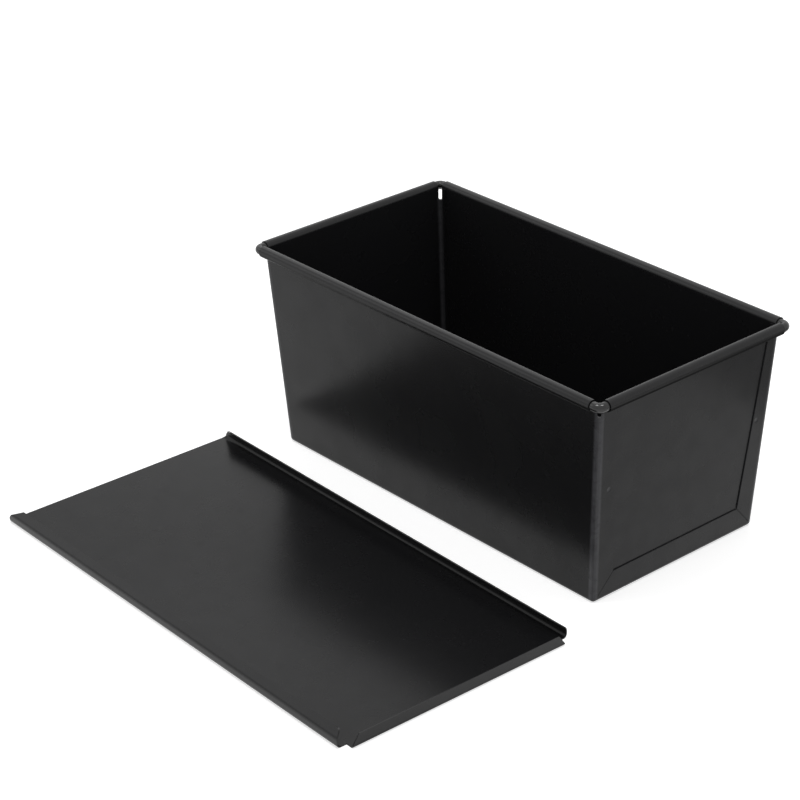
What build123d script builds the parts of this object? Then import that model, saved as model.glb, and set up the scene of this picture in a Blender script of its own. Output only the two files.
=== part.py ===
from build123d import *
import math
import os

os.makedirs("parts", exist_ok=True)

# A lidded bread pan of thin coated steel. X runs along the pan, Y across it, Z up.
# The origin is the middle of the pan's base. All lengths are in millimetres.

# Pan, outside sizes
rim_length = 234.6
rim_width = 122.5
height = 104.7
base_length = 211.0
base_width = 102.8

# Sheet steel and its bends
sheet = 0.5
bend_radius = 2.0
panel_gap = 0.1
panel_lip = 4.0

# Rolled rim and the wire inside it
wire_diameter = 4.4
roll_gap = 0.05
roll_tail_angle = 140.0
roll_end_setback = 4.2
wire_elbow_radius = 2.4
wire_butt_gap = 0.5

# Relief slot at the top of each upright corner
slot_width = 1.7
slot_depth = 6.3
slot_reach = 5.0

# End flanges of the trough, folded round the outside of the end panels
flange_foot = 12.7
flange_side_low = 12.0
flange_side_high = 7.0
flange_top_gap = 0.5
mitre_slit = 0.3
spot_diameter = 2.6
spot_depth = 0.2
spot_edge = 2.2
spot_height = 57.0

# Sliding lid, its rails hooked round the rolled rim
lid_length = 251.0
lid_corner = 1.5
rail_side_gap = 1.3
rail_seat_gap = 0.1
rail_lip_gap = 0.8
rail_lip_angle = 49.0
rail_lip_reach = 3.3
rail_bend_radius = 2.15
rail_lead_foot = 1.2
rail_lead_web = 2.8
rail_lead_lip = 9.5
rail_end_setback = 4.2
rail_end_radius = 4.5
stop_height = 6.0
stop_inset = 5.0
stop_slant = 3.5
stop_bend_radius = 1.2

# Where the lid lies beside the pan, upside down on the table
lid_x = -5.6
lid_y = -138.8
lid_turn = -1.4

# One overrun for all cuts
overrun = 5.0

# Rolled rim: radii of the roll, and the line that the wire's centre follows
roll_inner = wire_diameter / 2 + roll_gap
roll_outer = roll_inner + sheet
rim_z = height - roll_outer
wire_x = rim_length / 2 - roll_outer
wire_y = rim_width / 2 - roll_outer

# Faces that the leaning walls are measured from, at the base
end_datum = base_length / 2 - sheet
side_datum = base_width / 2


def lean(datum, wire_place):
    """Outward run per unit of height of a wall that starts at datum and meets the roll at a tangent."""
    run = wire_place - datum
    angle = math.atan2(run, rim_z) - math.asin(roll_inner / math.hypot(run, rim_z))
    return math.tan(angle)


end_lean = lean(end_datum, wire_x)
side_lean = lean(side_datum, wire_y)


def wall_place(datum, slope, z, offset):
    """Distance from the middle of the pan to a wall face at height z, offset square to the wall."""
    return datum + slope * z + offset * math.hypot(1, slope)


def envelope(end_offset, side_offset, floor, top, radius):
    """Tapered block between two levels, its faces offset from the datum faces, its bends rounded."""
    outlines = []
    for datum, slope, offset in ((end_datum, end_lean, end_offset), (side_datum, side_lean, side_offset)):
        low = wall_place(datum, slope, floor, offset)
        high = wall_place(datum, slope, top, offset)
        outlines.append(Polygon((-low, floor), (low, floor), (high, top), (-high, top), align=None))
    along, across = outlines
    block = extrude(Plane.XZ * along, amount=2 * rim_width, both=True)
    block &= extrude(Plane.YZ * across, amount=rim_length, both=True)
    if radius > 0:
        top_edges = block.faces().sort_by(Axis.Z)[-1].edges()
        block = fillet([edge for edge in block.edges() if edge not in top_edges], radius)
    return block


def rolled_edge(datum, slope, wire_place):
    """Section of a wall's edge, rolled outward round the wire from the rim's level, in (out, up)."""
    centre = Vector(wire_place, rim_z)
    tilt = math.atan(slope)
    start = 180 - math.degrees(tilt)
    sweep = start + roll_tail_angle
    tangent_out = centre + Vector(roll_inner, 0).rotate(Axis.Z, start)
    tangent_in = centre + Vector(roll_outer, 0).rotate(Axis.Z, start)
    tail_in = centre + Vector(roll_inner, 0).rotate(Axis.Z, -roll_tail_angle)
    tail_out = centre + Vector(roll_outer, 0).rotate(Axis.Z, -roll_tail_angle)
    low_out = Vector(wall_place(datum, slope, rim_z, 0), rim_z)
    low_in = Vector(wall_place(datum, slope, rim_z, -sheet), rim_z)
    middle = start - sweep / 2
    middle_in = centre + Vector(roll_inner, 0).rotate(Axis.Z, middle)
    middle_out = centre + Vector(roll_outer, 0).rotate(Axis.Z, middle)
    outline = [
        Line(low_out, tangent_out),
        ThreePointArc(tangent_out, middle_in, tail_in),
        Line(tail_in, tail_out),
        ThreePointArc(tail_out, middle_out, tangent_in),
        Line(tangent_in, low_in),
        Line(low_in, low_out),
    ]
    return make_face(outline)


def corner_slots():
    """Round-bottomed slots that free the sheet at the four upright corners, below the wire."""
    slots = []
    corner_x = wall_place(end_datum, end_lean, rim_z, 0)
    corner_y = wall_place(side_datum, side_lean, rim_z, 0)
    bottom = rim_z - slot_depth + slot_width / 2
    tall = height + overrun - bottom
    for side_x in (-1, 1):
        for side_y in (-1, 1):
            place = Pos(side_x * corner_x, side_y * corner_y, bottom)
            turned = place * Rot(0, 0, math.degrees(math.atan2(side_y, side_x)))
            slots.append(turned * Pos(0, 0, tall / 2) * Box(2 * slot_reach, slot_width, tall))
            slots.append(turned * Rot(0, 90, 0) * Cylinder(slot_width / 2, 2 * slot_reach))
    return slots


def spot_dimples(window_low, flare):
    """Shallow dimples where the side flanges are spot welded to the end panels."""
    radius = (spot_diameter**2 / 4 + spot_depth**2) / (2 * spot_depth)
    place_x = wall_place(end_datum, end_lean, spot_height, sheet + radius - spot_depth)
    place_y = window_low + flare * (spot_height - flange_foot) + spot_edge
    dimples = []
    for side_x in (-1, 1):
        for side_y in (-1, 1):
            dimples.append(Pos(side_x * place_x, side_y * place_y, spot_height) * Sphere(radius))
    return dimples


def trough_sheet():
    """Front wall, base and back wall in one bent sheet, with flanges folded round both ends."""
    shell = envelope(sheet, 0, 0, rim_z, bend_radius)
    shell -= envelope(0, -sheet, sheet, rim_z + overrun, bend_radius - sheet)
    half = wire_x - roll_end_setback
    section = Plane.YZ * rolled_edge(side_datum, side_lean, wire_y)
    rolled = extrude(Pos(-half, 0, 0) * section, amount=2 * half, dir=(1, 0, 0))
    shell += [rolled, rolled.mirror(Plane.XZ)]
    window_low = wall_place(side_datum, side_lean, flange_foot, 0) - flange_side_low
    window_high = wall_place(side_datum, side_lean, rim_z, 0) - flange_side_high
    flare = (window_high - window_low) / (rim_z - flange_foot)
    cut_top = rim_z + overrun
    cut_half = window_low + flare * (cut_top - flange_foot)
    window = Polygon(
        (-window_low, flange_foot),
        (window_low, flange_foot),
        (cut_half, cut_top),
        (-cut_half, cut_top),
        align=None,
    )
    shell -= extrude(Plane.YZ * window, amount=rim_length, both=True)
    flange_top = rim_z - roll_outer - flange_top_gap
    over_flange = Pos(0, 0, flange_top + height / 2) * Box(2 * rim_length, 2 * rim_width, height)
    over_flange -= envelope(0, rim_width, flange_top - overrun, flange_top + height + overrun, 0)
    shell -= over_flange
    run = side_datum - window_low
    angle = math.degrees(math.atan2(flange_foot, run))
    slit_start = 2 * bend_radius
    slit_length = math.hypot(run, flange_foot) + overrun - slit_start
    for side_x in (-1, 1):
        for side_y in (-1, 1):
            corner = Pos(side_x * (end_datum + sheet), side_y * side_datum, 0)
            middle = Pos(0, -side_y * (slit_start + slit_length / 2), 0)
            slant = corner * Rot(-side_y * angle, 0, 0)
            shell -= slant * middle * Box(2 * bend_radius, slit_length, mitre_slit)
    for dimple in spot_dimples(window_low, flare):
        shell -= dimple
    for slot in corner_slots():
        shell -= slot
    return shell


def end_panels():
    """The two end sheets: trays with narrow lips inside the trough, and rolled top edges."""
    bend = bend_radius - sheet - panel_gap
    trays = envelope(0, -sheet - panel_gap, sheet + panel_gap, rim_z, bend)
    trays -= envelope(-sheet, -2 * sheet - panel_gap, 2 * sheet + panel_gap, rim_z + overrun, bend - sheet)
    trays -= envelope(-sheet - panel_lip, rim_width, -overrun, rim_z + overrun, 0)
    half = wire_y - roll_end_setback
    section = Plane.XZ * rolled_edge(end_datum, end_lean, wire_x)
    rolled = extrude(Pos(0, -half, 0) * section, amount=2 * half, dir=(0, 1, 0))
    panels = []
    sides = trays.solids().sort_by(Axis.X)
    for tray, edge in ((sides[0], rolled.mirror(Plane.YZ)), (sides[-1], rolled)):
        panel = tray + edge
        for slot in corner_slots():
            panel -= slot
        panels.append(panel)
    return panels


def rim_wire():
    """One steel wire bent to the rim's outline, its ends butted in the middle of the back edge."""
    start = (-wire_butt_gap / 2, wire_y, rim_z)
    corners = [(-wire_x, wire_y, rim_z), (-wire_x, -wire_y, rim_z), (wire_x, -wire_y, rim_z)]
    corners.append((wire_x, wire_y, rim_z))
    finish = (wire_butt_gap / 2, wire_y, rim_z)
    path = FilletPolyline(start, *corners, finish, radius=wire_elbow_radius)
    end_plane = Plane(origin=start, z_dir=(-1, 0, 0))
    return sweep(end_plane * Circle(wire_diameter / 2), path=path)


# Lid's half width, and the bend between a rail's web and its lip, in (in from the lid's edge, up)
lid_half_width = rim_width / 2 + rail_side_gap + sheet
lip_lean = math.radians(rail_lip_angle)
lip_reach = roll_outer + rail_lip_gap + sheet / 2
lip_touch_in = sheet + rail_side_gap + roll_outer - lip_reach * math.cos(lip_lean)
lip_touch_up = sheet + rail_seat_gap + roll_outer + lip_reach * math.sin(lip_lean)
rail_bend_up = lip_touch_up - (lip_touch_in - sheet / 2) / math.tan(lip_lean)


def rail_path():
    """Middle line of the bent sheet, in (across, up): foot, upright web, and lip leaning inward."""
    tip_in = sheet / 2 + rail_lip_reach
    tip_up = rail_bend_up + rail_lip_reach / math.tan(lip_lean)
    points = [
        (lid_half_width - 2 * rail_bend_radius, sheet / 2),
        (lid_half_width - sheet / 2, sheet / 2),
        (lid_half_width - sheet / 2, rail_bend_up),
        (lid_half_width - tip_in, tip_up),
    ]
    return FilletPolyline(*points, radius=rail_bend_radius - sheet / 2)


def lid_rail(half_length, rail_stop):
    """One rail, cut slanting at the open end and rounded at the stop."""
    section = Plane.YZ * trace(rail_path(), line_width=sheet)
    rail = extrude(Pos(-half_length, 0, 0) * section, amount=half_length + rail_stop, dir=(1, 0, 0))
    top = rail.bounding_box().max.Z
    lip_slope = (rail_lead_lip - rail_lead_web) / (top - rail_bend_up)
    lead = Polygon(
        (-half_length - overrun, rail_lead_foot),
        (-half_length, rail_lead_foot),
        (rail_lead_web - half_length, rail_bend_up),
        (rail_lead_lip + lip_slope * overrun - half_length, top + overrun),
        (-half_length - overrun, top + overrun),
        align=None,
    )
    tail_x = rail_stop - rail_end_radius
    tail_z = top - rail_end_radius
    tail = Polygon(
        (tail_x, top + overrun),
        (tail_x, tail_z),
        (rail_stop + overrun, tail_z),
        (rail_stop + overrun, top + overrun),
        align=None,
    )
    tail -= Pos(tail_x, tail_z) * Circle(rail_end_radius)
    rail -= extrude(Plane.XZ * lead, amount=rim_width, both=True)
    rail -= extrude(Plane.XZ * tail, amount=rim_width, both=True)
    return rail


def lid_stop(half_length, stop_half):
    """Stop flange folded up at the closed end, its ends slanting inward."""
    root = half_length - 2 * stop_bend_radius
    points = [(root, sheet / 2), (half_length - sheet / 2, sheet / 2), (half_length - sheet / 2, stop_height)]
    section = trace(FilletPolyline(*points, radius=stop_bend_radius - sheet / 2), line_width=sheet)
    stop = extrude(Plane.XZ * section, amount=stop_half, both=True)
    shape = Polygon(
        (-stop_half, -overrun),
        (stop_half, -overrun),
        (stop_half, stop_bend_radius),
        (stop_half - stop_slant, stop_height),
        (stop_slant - stop_half, stop_height),
        (-stop_half, stop_bend_radius),
        align=None,
    )
    return stop & extrude(Plane.YZ * shape, amount=lid_length, both=True)


def lid():
    """Flat sheet with a rail hooked inward along each side and a stop flange at one end."""
    half_length = lid_length / 2
    rail_stop = half_length - rail_end_setback
    stop_half = lid_half_width - stop_inset
    rail = lid_rail(half_length, rail_stop)
    plate_end = half_length - stop_bend_radius
    plate_half = lid_half_width - rail_bend_radius
    plate = Box(half_length + plate_end, 2 * plate_half, sheet)
    plate = Pos((plate_end - half_length) / 2, 0, sheet / 2) * plate
    body = plate + [rail, rail.mirror(Plane.XZ)]
    relief = Pos(rail_stop + overrun, 0, 0) * Box(2 * overrun, 2 * rim_width, height)
    relief -= Box(2 * lid_length, 2 * stop_half, height)
    reach = lid_corner + overrun
    corner = Polygon((-overrun, -reach), (-overrun, overrun), (reach, overrun), align=None)
    chamfer = Pos(-half_length, lid_half_width, 0) * extrude(corner, amount=height, both=True)
    body -= [relief, chamfer, chamfer.mirror(Plane.XZ)]
    body += lid_stop(half_length, stop_half)
    return Pos(lid_x, lid_y, 0) * Rot(0, 0, lid_turn) * body


def main():
    left_panel, right_panel = end_panels()
    nodes = {
        "trough_sheet": trough_sheet(),
        "end_panel_left": left_panel,
        "end_panel_right": right_panel,
        "rim_wire": rim_wire(),
        "lid": lid(),
    }
    for name, shape in nodes.items():
        shape.label = name
        export_step(shape, f"parts/{name}.step")
        print(name, len(shape.solids()), round(shape.volume), shape.bounding_box())


main()
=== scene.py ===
import math

import bmesh
import bpy
from mathutils import Matrix, Vector


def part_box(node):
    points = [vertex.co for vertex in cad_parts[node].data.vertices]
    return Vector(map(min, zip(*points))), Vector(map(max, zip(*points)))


bl_info = {
    "name": "Lidded loaf pan",
    "version": (1, 0, 0),
    "blender": (4, 5, 0),
    "location": "View3D > Sidebar > Loaf Pan",
    "description": "Dresses the packed loaf pan in coated steel and lights it in a plain studio",
    "category": "Object",
}

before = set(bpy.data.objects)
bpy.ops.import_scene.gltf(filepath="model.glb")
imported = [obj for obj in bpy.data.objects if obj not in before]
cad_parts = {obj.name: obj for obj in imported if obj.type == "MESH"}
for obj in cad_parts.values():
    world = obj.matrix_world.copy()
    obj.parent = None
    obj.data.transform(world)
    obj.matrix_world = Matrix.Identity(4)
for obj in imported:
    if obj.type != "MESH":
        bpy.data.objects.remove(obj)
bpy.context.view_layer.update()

PAN_SHEETS = ("trough_sheet", "end_panel_left", "end_panel_right")
RIM_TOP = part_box("trough_sheet")[1].z
MILLIMETRE = 0.001

# Half the pan's length and width at its foot, and how far its walls lean out for each metre of height
END_FOOT = 105.0 * MILLIMETRE
SIDE_FOOT = 51.4 * MILLIMETRE
END_LEAN = 0.0714
SIDE_LEAN = 0.0475

# Depths into the pan's sheet, and how wide a bend is made paler, as rubbed wear and as a painted highlight
SKIN = 0.1 * MILLIMETRE
CORE = 0.4 * MILLIMETRE
BEND_FAR = 3.2 * MILLIMETRE
BEND_NEAR = 1.6 * MILLIMETRE

# Depth of the rolled edge, and heights below the rim's top in such depths, each pair from 0 to 1
ROLL_DEPTH = 5.5 * MILLIMETRE
BURNISHED_ROLL = (0.7, 0.4)
# ROLL_UNDERSIDE and ROLL_FOOT bound the painted shade under the rolled rim
ROLL_UNDERSIDE = (0.4, 0.7)
ROLL_FOOT = (1.35, 1.15)
BELOW_ROLL = (1.0, 1.5)

# Heights between which the lid's plate ends and its rails start
RAIL_START = (1.0 * MILLIMETRE, 2.0 * MILLIMETRE)

# Spacings of the finishes' spots, and the noise levels between which each goes from 0 to 1
SMEAR_GRAIN = 30.0 * MILLIMETRE
SPOT_GRAIN = 10.0 * MILLIMETRE
PALE_PATCH_GRAIN = 4.0 * MILLIMETRE
WORN_GRAIN = 3.0 * MILLIMETRE
FLECK_GRAIN = 1.2 * MILLIMETRE
DRAWN_GRAIN = 0.6 * MILLIMETRE
DRAWN_DEPTH = 0.01 * MILLIMETRE
BLOOM_LEVELS = (0.3, 0.7)
SPOT_LEVELS = (0.6, 0.8)
PALE_PATCH_LEVELS = (0.2, 0.6)
WORN_LEVELS = (0.35, 0.7)
FLECK_LEVELS = (0.66, 0.74)

# How strongly each mark changes the finish
SMEAR_ROUGHNESS = 0.08
WORN_ROUGHNESS = 0.15
WORN_PALENESS = 2.5
FLECK_SHARE = 0.12
SPOT_SHARE = 0.1
CUT_EDGE_SHARE = 0.5
INSIDE_BEND_PALENESS_CUT = 0.4
PALE_PATCH_SHARE = 0.4
# Share of the painted shade under the side rolls
SIDE_ROLL_SHADE_SHARE = 0.7
LID_BLOOM_SHARE = 0.5
LID_GLOSS_SHARE = 0.3

# A Mix node's sockets for colours
MIX_FACTOR, MIX_LOW, MIX_HIGH, MIX_RESULT = 0, 6, 7, 2

FLOOR_DROP = 0.05 * MILLIMETRE
RAYS_THAT_SEE_WHITE = ("Is Camera Ray", "Is Glossy Ray", "Is Transmission Ray")
RAYS_THAT_MISS_CARDS = ("camera", "diffuse", "transmission", "shadow", "volume_scatter")

# Each card's corner, side and brightness. The cards are painted reflections: squares dimmer than the floor's
# own gloss, which only reflections show, painting darker floor into the pan's reflections
CARDS = {
    "dark_card": ((0.155, 0.125, 0.002), 0.5, 0.5),
    "right_card": ((0.107, -0.075, 0.001), 1.2, 1.1),
    "left_card": ((-0.64, -0.56, 0.001), 0.5, 1.1),
}

# Each lamp's place, the point it faces, its width and depth, and the setting with its strength
LAMPS = {
    "top_soft_box_right": ((0.325, 0.186, 1.26), (0.0, -0.05, 0.0), 0.32, 0.32, "top_lamp"),
    "top_soft_box_left": ((-0.095, -0.306, 1.26), (0.0, -0.05, 0.0), 0.32, 0.32, "top_lamp"),
    "side_soft_box": ((-1.1, -0.9, 0.9), (0.0, -0.05, 0.05), 0.8, 0.6, "side_lamp"),
    "back_soft_box": ((-0.6, 0.2, 0.76), (0.05, -0.27, 0.0), 0.6, 0.45, "back_lamp"),
}


# Node making

class Value:
    """A number socket. Python's operators on it add Math nodes to its shader."""

    def __init__(self, shader, socket):
        self.shader = shader
        self.socket = socket

    def math(self, operation, *others):
        return self.shader.node("ShaderNodeMath", {"operation": operation}, [self, *others])

    def __add__(self, other):
        return self.math("ADD", other)

    def __radd__(self, other):
        return self.math("ADD", other)

    def __sub__(self, other):
        return self.math("SUBTRACT", other)

    def __rsub__(self, other):
        return self.shader.node("ShaderNodeMath", {"operation": "SUBTRACT"}, [other, self])

    def __mul__(self, other):
        return self.math("MULTIPLY", other)

    def __rmul__(self, other):
        return self.math("MULTIPLY", other)

    def size(self):
        """How large the number is, whatever its sign."""
        return self.math("ABSOLUTE")

    def ramp(self, low, high):
        """0 below low, 1 above high, and smooth between them. With low above high it falls."""
        inputs = {"Value": self, "From Min": low, "From Max": high}
        settings = {"interpolation_type": "SMOOTHSTEP"}
        return self.shader.node("ShaderNodeMapRange", settings, inputs, "Result")


class Shader:
    """A material or world, emptied, and the one method that adds nodes to it."""

    def __init__(self, owner):
        owner.use_nodes = True
        self.owner = owner
        self.tree = owner.node_tree
        self.tree.nodes.clear()

    def node(self, kind, settings=None, inputs=(), output=0):
        """Adds a node, sets it up, fills or links its sockets, and returns one output as a Value."""
        made = self.tree.nodes.new(kind)
        for name, setting in (settings or {}).items():
            setattr(made, name, setting)
        pairs = inputs.items() if isinstance(inputs, dict) else enumerate(inputs)
        for key, content in pairs:
            if isinstance(content, Value):
                self.tree.links.new(content.socket, made.inputs[key])
            else:
                made.inputs[key].default_value = content
        return Value(self, made.outputs[output]) if len(made.outputs) else None

    def place(self):
        """The point being shaded, in the object's own metres."""
        return self.node("ShaderNodeTexCoord", output="Object")

    def axes(self, place):
        """The point's x, y and z as Values."""
        return [self.node("ShaderNodeSeparateXYZ", None, [place], axis) for axis in range(3)]

    def noise(self, place, grain, detail=2.0, rough=0.5):
        """Soft random spots about grain metres apart, from 0 to 1."""
        inputs = {"Vector": place, "Scale": 1.0 / grain, "Detail": detail, "Roughness": rough}
        return self.node("ShaderNodeTexNoise", None, inputs, "Fac")

    def colour_mix(self, factor, low, high):
        """The low colour where factor is 0, and the high one where it is 1."""
        inputs = {MIX_FACTOR: factor, MIX_LOW: low, MIX_HIGH: high}
        return self.node("ShaderNodeMix", {"data_type": "RGBA"}, inputs, MIX_RESULT)

    def bump(self, height, distance, normal=None):
        """Tilts normal, or the surface's own, by a height that stands for distance in metres."""
        inputs = {"Height": height, "Distance": distance}
        if normal is not None:
            inputs["Normal"] = normal
        return self.node("ShaderNodeBump", None, inputs, "Normal")

    def surface(self, shader):
        """Sends a finished shader to the owner's output."""
        of_world = isinstance(self.owner, bpy.types.World)
        kind = "ShaderNodeOutputWorld" if of_world else "ShaderNodeOutputMaterial"
        self.node(kind, None, {"Surface": shader})


def grey(level, blue=1.0):
    """A grey colour, with its blue raised a little for cold steel."""
    return (level, level, level * blue, 1.0)


# Sizes and finishes that a user may change

class CoatingSettings(bpy.types.PropertyGroup):
    """Black non-stick coating on the sheets."""

    colour: bpy.props.FloatProperty(
        name="Coating Grey", description="Darkness of the coating", default=0.0065, min=0.0, max=1.0,
        subtype="FACTOR",
    )
    inside_colour: bpy.props.FloatProperty(
        name="Inside Grey", description="Darkness of the duller coating inside the pan", default=0.0085,
        min=0.0, max=1.0, subtype="FACTOR",
    )
    # Grey of the paler marks: rubbed wear and painted highlight on the pan's bends, painted light over the
    # seams at its cut edges, and dust flecks on pan and lid
    wear_dust_and_highlight_grey: bpy.props.FloatProperty(
        name="Rubbed Grey", description="Grey of the coating where bends and edges are rubbed", default=0.06,
        min=0.0, max=1.0, subtype="FACTOR",
    )
    blue: bpy.props.FloatProperty(
        name="Coolness", description="How cold the grey is", default=1.08, min=0.5, max=2.0
    )
    roughness: bpy.props.FloatProperty(
        name="Roughness", description="How satin the coating is", default=0.27, min=0.0, max=1.0,
        subtype="FACTOR",
    )
    gloss: bpy.props.FloatProperty(
        name="Gloss Level", description="Strength of the coating's reflection", default=0.165,
        min=0.0, max=1.0, subtype="FACTOR",
    )
    bloom: bpy.props.FloatProperty(
        name="Bloom", description="How much glossier the coating is in patches", default=0.05,
        min=0.0, max=1.0, subtype="FACTOR",
    )
    bloom_grain: bpy.props.FloatProperty(
        name="Bloom Spacing", description="Spacing of the glossier patches", default=0.012,
        unit="LENGTH",
    )
    burnish: bpy.props.FloatProperty(
        name="Burnish", description="Extra gloss of the rim and of the lid's rails, which slide on it",
        default=0.2, min=0.0, max=1.0, subtype="FACTOR",
    )
    # Painted shade: how much dull dark diffuse covers the underside of the rolled rim, standing in for the
    # shadow there
    grime_and_painted_shade: bpy.props.FloatProperty(
        name="Grime", description="How much dull grime covers the underside of the rolled rim",
        default=0.92, min=0.0, max=1.0, subtype="FACTOR",
    )
    # Grey of the painted shade under the rim and of the lid's dull spots
    shade_and_spot_grey: bpy.props.FloatProperty(
        name="Grime Grey", description="Darkness of the grime", default=0.008, min=0.0, max=1.0,
        subtype="FACTOR",
    )
    peel_grain: bpy.props.FloatProperty(
        name="Peel Grain", description="Spacing of the coating's fine dimples", default=0.0009,
        unit="LENGTH",
    )
    peel_depth: bpy.props.FloatProperty(
        name="Peel Depth", description="Depth of the coating's fine dimples", default=0.000006,
        unit="LENGTH",
    )
    wave_grain: bpy.props.FloatProperty(
        name="Wave Spacing", description="Spacing of the slow waves in thin sheet", default=0.06,
        unit="LENGTH",
    )
    wave_depth: bpy.props.FloatProperty(
        name="Wave Depth", description="Depth of the slow waves in thin sheet", default=0.0002,
        unit="LENGTH",
    )
    pan_bow: bpy.props.FloatVectorProperty(
        name="Pan Bow", description="Radii of the walls' slight outward bow, along and across",
        default=(2.8, 2.8), size=2, unit="LENGTH",
    )
    lid_bow: bpy.props.FloatVectorProperty(
        name="Lid Bow", description="Radii of the lid's slight outward bow, along and across",
        default=(5.0, 1.2), size=2, unit="LENGTH",
    )


class WireSettings(bpy.types.PropertyGroup):
    """Rim wire, which shows at the corners."""

    colour: bpy.props.FloatProperty(
        name="Wire Grey", description="Darkness of the wire", default=0.004, min=0.0, max=1.0,
        subtype="FACTOR",
    )
    roughness: bpy.props.FloatProperty(
        name="Wire Roughness", description="How rough the wire's skin is", default=0.2,
        min=0.0, max=1.0, subtype="FACTOR",
    )
    gloss: bpy.props.FloatProperty(
        name="Wire Gloss", description="Strength of the wire's reflection", default=0.5,
        min=0.0, max=1.0, subtype="FACTOR",
    )


class StudioSettings(bpy.types.PropertyGroup):
    """Camera, floor and lamps."""

    camera_place: bpy.props.FloatVectorProperty(
        name="Camera Place", description="Where the camera stands",
        default=(0.78605, -0.74216, 0.59543), unit="LENGTH",
    )
    azimuth: bpy.props.FloatProperty(
        name="Azimuth", description="Turn of the view about the upright axis",
        default=math.radians(49.45), unit="ROTATION",
    )
    elevation: bpy.props.FloatProperty(
        name="Elevation", description="How far the camera looks down",
        default=math.radians(27.03), unit="ROTATION",
    )
    roll: bpy.props.FloatProperty(
        name="Roll", description="Turn of the picture about the view line",
        default=math.radians(-1.3), unit="ROTATION",
    )
    lens: bpy.props.FloatProperty(name="Lens", description="Focal length in millimetres", default=116.2)
    floor_grey: bpy.props.FloatProperty(
        name="Floor Grey", description="Paleness of the floor", default=0.7, min=0.0, max=1.0,
        subtype="FACTOR",
    )
    floor_glow: bpy.props.FloatProperty(
        name="Floor Glow", description="White added to the floor that the camera and gloss see", default=0.6
    )
    floor_size: bpy.props.FloatProperty(
        name="Floor Size", description="Side of the square floor", default=8.0, unit="LENGTH"
    )
    sky: bpy.props.FloatProperty(
        name="Sky Strength", description="Soft light from all round", default=0.55
    )
    top_lamp: bpy.props.FloatProperty(
        name="Top Lamps", description="Strength of each overhead soft box", default=4.0, unit="POWER"
    )
    side_lamp: bpy.props.FloatProperty(
        name="Side Lamp", description="Strength of the side soft box", default=1.2, unit="POWER"
    )
    back_lamp: bpy.props.FloatProperty(
        name="Back Lamp", description="Strength of the soft box behind the pan's left end", default=0.6,
        unit="POWER",
    )


# Materials

def sheet_waves(shader, place, crest, bow, settings):
    """Slight outward bow and slow waves of the sheet, under the fine dimples of its coating."""
    x, y, _ = shader.axes(place)
    along, across = x - crest.x, y - crest.y
    fall = along * along * (-0.5 / bow[0]) + across * across * (-0.5 / bow[1])
    waves = shader.noise(place, settings.wave_grain, detail=1.0)
    peel = shader.noise(place, settings.peel_grain, detail=1.0)
    slow = shader.bump(waves, settings.wave_depth, normal=shader.bump(fall, 1.0))
    return shader.bump(peel, settings.peel_depth, normal=slow)


def coated_sheet(name, settings, finish, crest, bow):
    """Satin black coating on thin sheet that bows outward round crest by the bow's two radii.

    finish gives the coating's colour, its extra gloss, and how much dull dark diffuse covers it: painted
    shade under the pan's rolled rim, dull spots on the lid.
    """
    material = bpy.data.materials.new(name)
    shader = Shader(material)
    place = shader.place()
    smears = shader.noise(place, SMEAR_GRAIN, detail=4.0, rough=0.6)
    colour, gloss, grime_and_painted_shade = finish(shader, place, settings)
    inputs = {
        "Base Color": colour,
        "Roughness": settings.roughness + (smears - 0.5) * SMEAR_ROUGHNESS,
        "Metallic": 0.0,
        "Specular IOR Level": settings.gloss,
        "Coat Weight": gloss,
        "Coat Roughness": settings.roughness,
        "Normal": sheet_waves(shader, place, crest, bow, settings),
    }
    coated = shader.node("ShaderNodeBsdfPrincipled", None, inputs)
    # Dull dark diffuse that finish mixes in: painted shade under the pan's rim, dull spots on the lid
    dull = shader.node("ShaderNodeBsdfDiffuse", None, {"Color": grey(settings.shade_and_spot_grey)})
    shader.surface(shader.node("ShaderNodeMixShader", None, [grime_and_painted_shade, coated, dull]))
    return material


def bloom(shader, place, settings):
    """Extra gloss in soft patches of the coating."""
    patches = shader.noise(place, settings.bloom_grain, detail=3.0, rough=0.55)
    return patches.ramp(*BLOOM_LEVELS) * settings.bloom


def flecks(shader, place):
    """A few fine pale specks of dust in the coating."""
    return shader.noise(place, FLECK_GRAIN).ramp(*FLECK_LEVELS) * FLECK_SHARE


def down_from_rim(z, start, end):
    """0 at the start depth below the rim's top and 1 at the end depth, in rolled edge depths."""
    return z.ramp(RIM_TOP - start * ROLL_DEPTH, RIM_TOP - end * ROLL_DEPTH)


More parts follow.
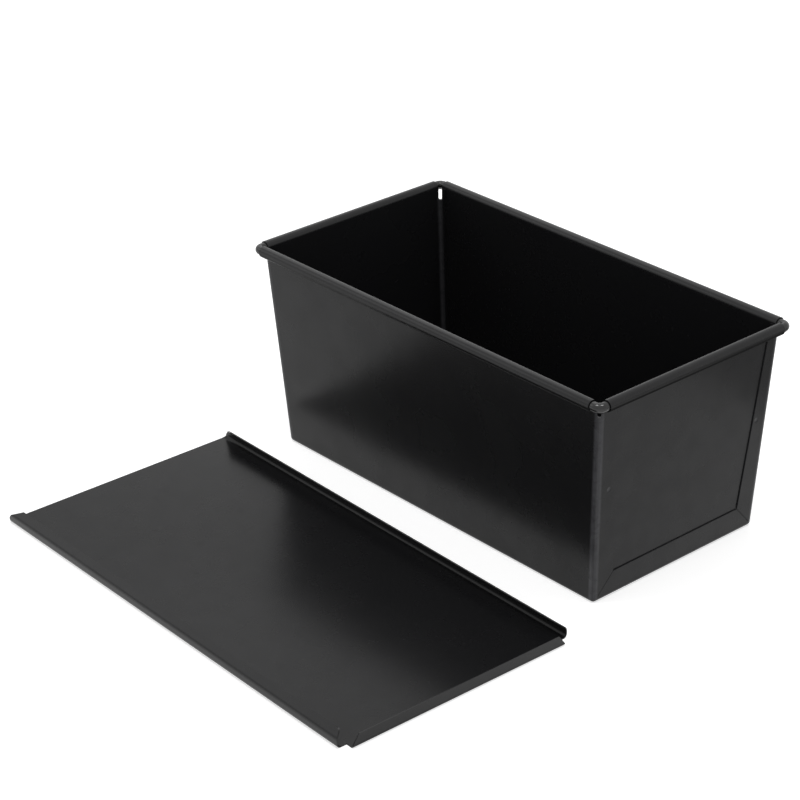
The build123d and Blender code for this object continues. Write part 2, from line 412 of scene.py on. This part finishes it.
def pan_finish(shader, place, settings):
    """Duller inside; paler grey on bends and cut edges, partly rubbed wear and partly painted highlight on
    the bends and painted light over the dark seams at the cut edges; burnished on the rim; painted shade
    under the rim, a dull dark diffuse standing in for the shadow beneath the rolled edge.
    """
    x, y, z = shader.axes(place)
    ends = END_FOOT + z * END_LEAN - x.size()
    sides = SIDE_FOOT + z * SIDE_LEAN - y.size()
    inside = ends.ramp(SKIN, CORE) * sides.ramp(SKIN, CORE) * z.ramp(SKIN, CORE)
    # Paler grey on the corner bends and the flanges' cut edges: partly rubbed wear, partly a painted
    # highlight on the bends and painted light over the dark seams at the cut edges
    bend = ends.ramp(BEND_FAR, BEND_NEAR) * sides.ramp(BEND_FAR, BEND_NEAR)
    bend_wear_and_highlight = bend * (1.0 - inside * INSIDE_BEND_PALENESS_CUT)
    cut_edge = ends.ramp(-SKIN - CORE, -CORE) * ends.ramp(0.0, -SKIN) * CUT_EDGE_SHARE
    patches = shader.noise(place, PALE_PATCH_GRAIN, detail=3.0).ramp(*PALE_PATCH_LEVELS)
    patchy = (1.0 - PALE_PATCH_SHARE) + patches * PALE_PATCH_SHARE
    rubbed = bend_wear_and_highlight.math("MAXIMUM", cut_edge) * down_from_rim(z, *BELOW_ROLL) * patchy
    plain = grey(settings.colour, settings.blue)
    coating = shader.colour_mix(inside, plain, grey(settings.inside_colour, settings.blue))
    paler = grey(settings.wear_dust_and_highlight_grey, settings.blue)
    colour = shader.colour_mix(rubbed + flecks(shader, place), coating, paler)
    roll_gloss = down_from_rim(z, *BURNISHED_ROLL) * settings.burnish
    # Painted shade: dull dark diffuse under the rolled rim, full under the end rolls and weaker under the
    # side rolls, standing in for the shadow beneath the roll
    side_roll = sides.ramp(0.0, -CORE) * SIDE_ROLL_SHADE_SHARE
    under_roll = down_from_rim(z, *ROLL_FOOT) * down_from_rim(z, *ROLL_UNDERSIDE)
    grime_and_painted_shade = ends.ramp(CORE, SKIN).math("MAXIMUM", side_roll) * under_roll * settings.grime_and_painted_shade
    return colour, bloom(shader, place, settings) + roll_gloss, grime_and_painted_shade


def lid_finish(shader, place, settings):
    """Even coating with faint patches, a few specks and dull spots, burnished on the rails."""
    _, _, z = shader.axes(place)
    plain = grey(settings.colour, settings.blue)
    paler = grey(settings.wear_dust_and_highlight_grey, settings.blue)
    colour = shader.colour_mix(flecks(shader, place), plain, paler)
    rails = z.ramp(*RAIL_START) * settings.burnish
    even_gloss = LID_GLOSS_SHARE * settings.bloom
    gloss = bloom(shader, place, settings) * LID_BLOOM_SHARE + even_gloss + rails
    grime_and_painted_shade = shader.noise(place, SPOT_GRAIN, detail=3.0).ramp(*SPOT_LEVELS) * SPOT_SHARE
    return colour, gloss, grime_and_painted_shade


def wire_skin(name, settings):
    """Dark wire with a smooth skin, a little paler in patches where it was bent and rubbed."""
    material = bpy.data.materials.new(name)
    shader = Shader(material)
    place = shader.place()
    drawn = shader.noise(place, DRAWN_GRAIN)
    patches = shader.noise(place, WORN_GRAIN, detail=3.0)
    paler = grey(settings.colour * WORN_PALENESS)
    inputs = {
        "Base Color": shader.colour_mix(patches.ramp(*WORN_LEVELS), grey(settings.colour), paler),
        "Roughness": settings.roughness + (patches - 0.5) * WORN_ROUGHNESS,
        "Metallic": 0.0,
        "Specular IOR Level": settings.gloss,
        "Normal": shader.bump(drawn, DRAWN_DEPTH),
    }
    shader.surface(shader.node("ShaderNodeBsdfPrincipled", None, inputs))
    return material


def dress(node, material):
    """Gives a CAD node one material in all its slots."""
    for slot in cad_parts[node].material_slots:
        slot.material = material


# Studio

def white_background(shader, lit, white):
    """A shader that shows white to the camera and in gloss and glass, and lit to all other rays."""
    rays = [shader.node("ShaderNodeLightPath", output=name) for name in RAYS_THAT_SEE_WHITE]
    seen = rays[0].math("MAXIMUM", rays[1]).math("MAXIMUM", rays[2])
    return shader.node("ShaderNodeMixShader", None, [seen, lit, white])


def staged_square(name, middle, side):
    """Flat square of the studio, with an empty material, and that material's Shader."""
    bm = bmesh.new()
    bmesh.ops.create_grid(bm, x_segments=1, y_segments=1, size=side / 2)
    bmesh.ops.translate(bm, verts=bm.verts, vec=middle)
    mesh = bpy.data.meshes.new(name)
    bm.to_mesh(mesh)
    bm.free()
    square = bpy.data.objects.new(name, mesh)
    bpy.context.scene.collection.objects.link(square)
    material = bpy.data.materials.new(name)
    mesh.materials.append(material)
    return square, Shader(material)


def studio_floor(settings):
    """Pale floor that meets the white background and keeps the object's shadow."""
    _, shader = staged_square("floor", (0.0, 0.0, -FLOOR_DROP), settings.floor_size)
    lit = shader.node("ShaderNodeBsdfDiffuse", None, {"Color": grey(settings.floor_grey)})
    inputs = {"Color": grey(1.0), "Strength": settings.floor_glow}
    glow = shader.node("ShaderNodeEmission", None, inputs)
    white = shader.node("ShaderNodeAddShader", None, [lit, glow])
    shader.surface(white_background(shader, lit, white))


def studio_card(name, corner, side, level):
    """Evenly bright square on the floor, its lowest X and Y at corner. Only gloss shows it: a painted
    reflection of darker floor, which lights nothing.
    """
    middle = Vector(corner) + Vector((side, side, 0.0)) / 2
    card, shader = staged_square(name, middle, side)
    for ray in RAYS_THAT_MISS_CARDS:
        setattr(card, f"visible_{ray}", False)
    inputs = {"Color": grey(1.0), "Strength": level}
    shader.surface(shader.node("ShaderNodeEmission", None, inputs))


def studio_world(settings):
    """Soft sky that looks white to the camera and in gloss."""
    world = bpy.data.worlds.new("studio")
    bpy.context.scene.world = world
    shader = Shader(world)
    sky = shader.node("ShaderNodeBackground", None, {"Color": grey(1.0), "Strength": settings.sky})
    white = shader.node("ShaderNodeBackground", None, {"Color": grey(1.0), "Strength": 1.0})
    shader.surface(white_background(shader, sky, white))


def soft_box(name, place, target, width, depth, power):
    """Rectangular area lamp at place, facing target."""
    lamp = bpy.data.lights.new(name, "AREA")
    lamp.shape = "RECTANGLE"
    lamp.size = width
    lamp.size_y = depth
    lamp.energy = power
    holder = bpy.data.objects.new(name, lamp)
    facing = (Vector(target) - Vector(place)).to_track_quat("-Z", "Y")
    holder.matrix_world = Matrix.Translation(place) @ facing.to_matrix().to_4x4()
    bpy.context.scene.collection.objects.link(holder)


def studio_camera(settings):
    """Camera at the photograph's place and angle."""
    azimuth, elevation = settings.azimuth, settings.elevation
    ahead = Vector((-math.sin(azimuth), math.cos(azimuth), 0.0)) * math.cos(elevation)
    ahead.z = -math.sin(elevation)
    right = ahead.cross(Vector((0.0, 0.0, 1.0))).normalized()
    up = right.cross(ahead)
    turned = Matrix((right, up, -ahead)).transposed() @ Matrix.Rotation(settings.roll, 3, "Z")
    lens = bpy.data.cameras.new("camera")
    lens.lens = settings.lens
    camera = bpy.data.objects.new("camera", lens)
    camera.matrix_world = Matrix.Translation(settings.camera_place) @ turned.to_4x4()
    bpy.context.scene.collection.objects.link(camera)
    bpy.context.scene.camera = camera


# Operators

class LOAFPAN_OT_sheets(bpy.types.Operator):
    """Coats the pan's trough and end panels"""

    bl_idname = "loafpan.sheets"
    bl_label = "Coat Pan Sheets"

    def execute(self, context):
        settings = context.scene.loafpan_coating
        crest = sum(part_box("trough_sheet"), Vector()) / 2
        material = coated_sheet("pan_coating", settings, pan_finish, crest, settings.pan_bow)
        for node in PAN_SHEETS:
            dress(node, material)
        return {"FINISHED"}


class LOAFPAN_OT_wire(bpy.types.Operator):
    """Finishes the rim wire"""

    bl_idname = "loafpan.wire"
    bl_label = "Finish Rim Wire"

    def execute(self, context):
        dress("rim_wire", wire_skin("rim_wire_skin", context.scene.loafpan_wire))
        return {"FINISHED"}


class LOAFPAN_OT_lid(bpy.types.Operator):
    """Coats the lid"""

    bl_idname = "loafpan.lid"
    bl_label = "Coat Lid"

    def execute(self, context):
        settings = context.scene.loafpan_coating
        crest = sum(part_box("lid"), Vector()) / 2
        crest.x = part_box("lid")[0].x
        dress("lid", coated_sheet("lid_coating", settings, lid_finish, crest, settings.lid_bow))
        return {"FINISHED"}


class LOAFPAN_OT_stage(bpy.types.Operator):
    """Sets up the floor, the background, the lamps and the camera"""

    bl_idname = "loafpan.stage"
    bl_label = "Set Up Studio"

    def execute(self, context):
        settings = context.scene.loafpan_studio
        studio_floor(settings)
        for name, (corner, side, level) in CARDS.items():
            studio_card(name, corner, side, level)
        studio_world(settings)
        for name, (place, target, width, depth, strength) in LAMPS.items():
            soft_box(name, place, target, width, depth, getattr(settings, strength))
        studio_camera(settings)
        context.scene.view_settings.view_transform = "Standard"
        return {"FINISHED"}


class LOAFPAN_PT_panel(bpy.types.Panel):
    """Lists the loaf pan's settings and operators"""

    bl_label = "Loaf Pan"
    bl_idname = "LOAFPAN_PT_panel"
    bl_space_type = "VIEW_3D"
    bl_region_type = "UI"
    bl_category = "Loaf Pan"

    def draw(self, context):
        layout = self.layout
        for group in GROUPS:
            settings = getattr(context.scene, group)
            for name in settings.__annotations__:
                layout.prop(settings, name)
        for operator in OPERATORS:
            layout.operator(operator.bl_idname)


GROUPS = {
    "loafpan_coating": CoatingSettings,
    "loafpan_wire": WireSettings,
    "loafpan_studio": StudioSettings,
}
OPERATORS = (LOAFPAN_OT_sheets, LOAFPAN_OT_wire, LOAFPAN_OT_lid, LOAFPAN_OT_stage)


def register():
    """Adds the settings, the operators and the panel."""
    for group in GROUPS.values():
        bpy.utils.register_class(group)
    for name, group in GROUPS.items():
        setattr(bpy.types.Scene, name, bpy.props.PointerProperty(type=group))
    for made in (*OPERATORS, LOAFPAN_PT_panel):
        bpy.utils.register_class(made)


def unregister():
    """Takes away what register added."""
    for made in (LOAFPAN_PT_panel, *reversed(OPERATORS)):
        bpy.utils.unregister_class(made)
    for name in GROUPS:
        delattr(bpy.types.Scene, name)
    for group in reversed(GROUPS.values()):
        bpy.utils.unregister_class(group)


def main():
    """Dresses and lights the pieces."""
    register()
    bpy.ops.loafpan.stage()
    bpy.ops.loafpan.sheets()
    bpy.ops.loafpan.wire()
    bpy.ops.loafpan.lid()


if __name__ == "__main__":
    main()
